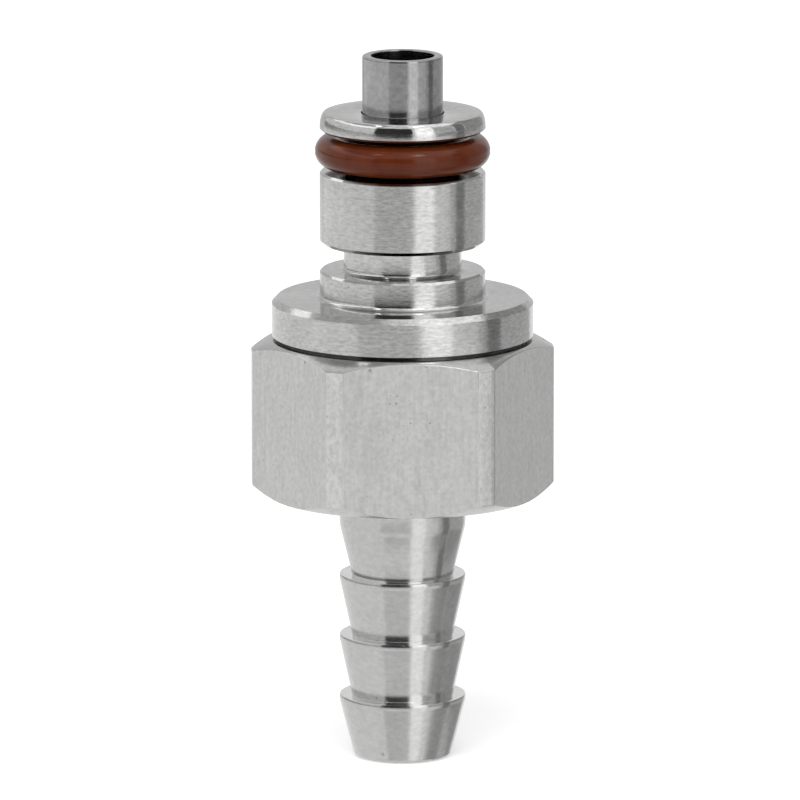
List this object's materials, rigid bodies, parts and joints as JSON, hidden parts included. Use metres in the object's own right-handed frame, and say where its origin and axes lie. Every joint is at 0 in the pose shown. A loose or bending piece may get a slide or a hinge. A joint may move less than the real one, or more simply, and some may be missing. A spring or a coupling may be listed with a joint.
{
  "type": "fuel line quick connector plug",
  "caption": "Quick connector plug with a sealing ring, a latch groove, a spring-loaded hollow valve stem, a hexagon body and a barbed hose tail.",
  "frame": {"origin": "centre of the hose tail's end face, on the axis", "axes": "+Z along the axis, from the hose tail to the nose; +Y is square to one flat of the hexagon"},
  "size_m": [0.0212, 0.019, 0.0498],
  "materials": {
    "turned_steel": "turned stainless steel with fine lines round the axis",
    "milled_steel": "stainless steel, flats with a fine grain along the axis, barbs turned",
    "polished_steel": "smooth ground stainless steel",
    "brown_rubber": "smooth reddish brown fluorocarbon rubber",
    "black_rubber": "smooth black rubber",
    "spring_steel": "drawn stainless wire"
  },
  "bodies": {
    "body": {"hex_tail": "milled_steel", "nose_body": "turned_steel", "nose_o_ring": "brown_rubber", "body_seal": "black_rubber", "valve_spring": "spring_steel"},
    "valve": {"valve_stem": "polished_steel", "valve_seal": "black_rubber"}
  },
  "joints": [
    {"name": "valve_slide", "type": "slide", "parent": "body", "child": "valve", "axis": [0, 0, 1], "range_m": [-0.003, 0], "stiffness_N_per_m": 3600, "springref_m": 0.0023, "deforming": ["valve_spring"]}
  ]
}
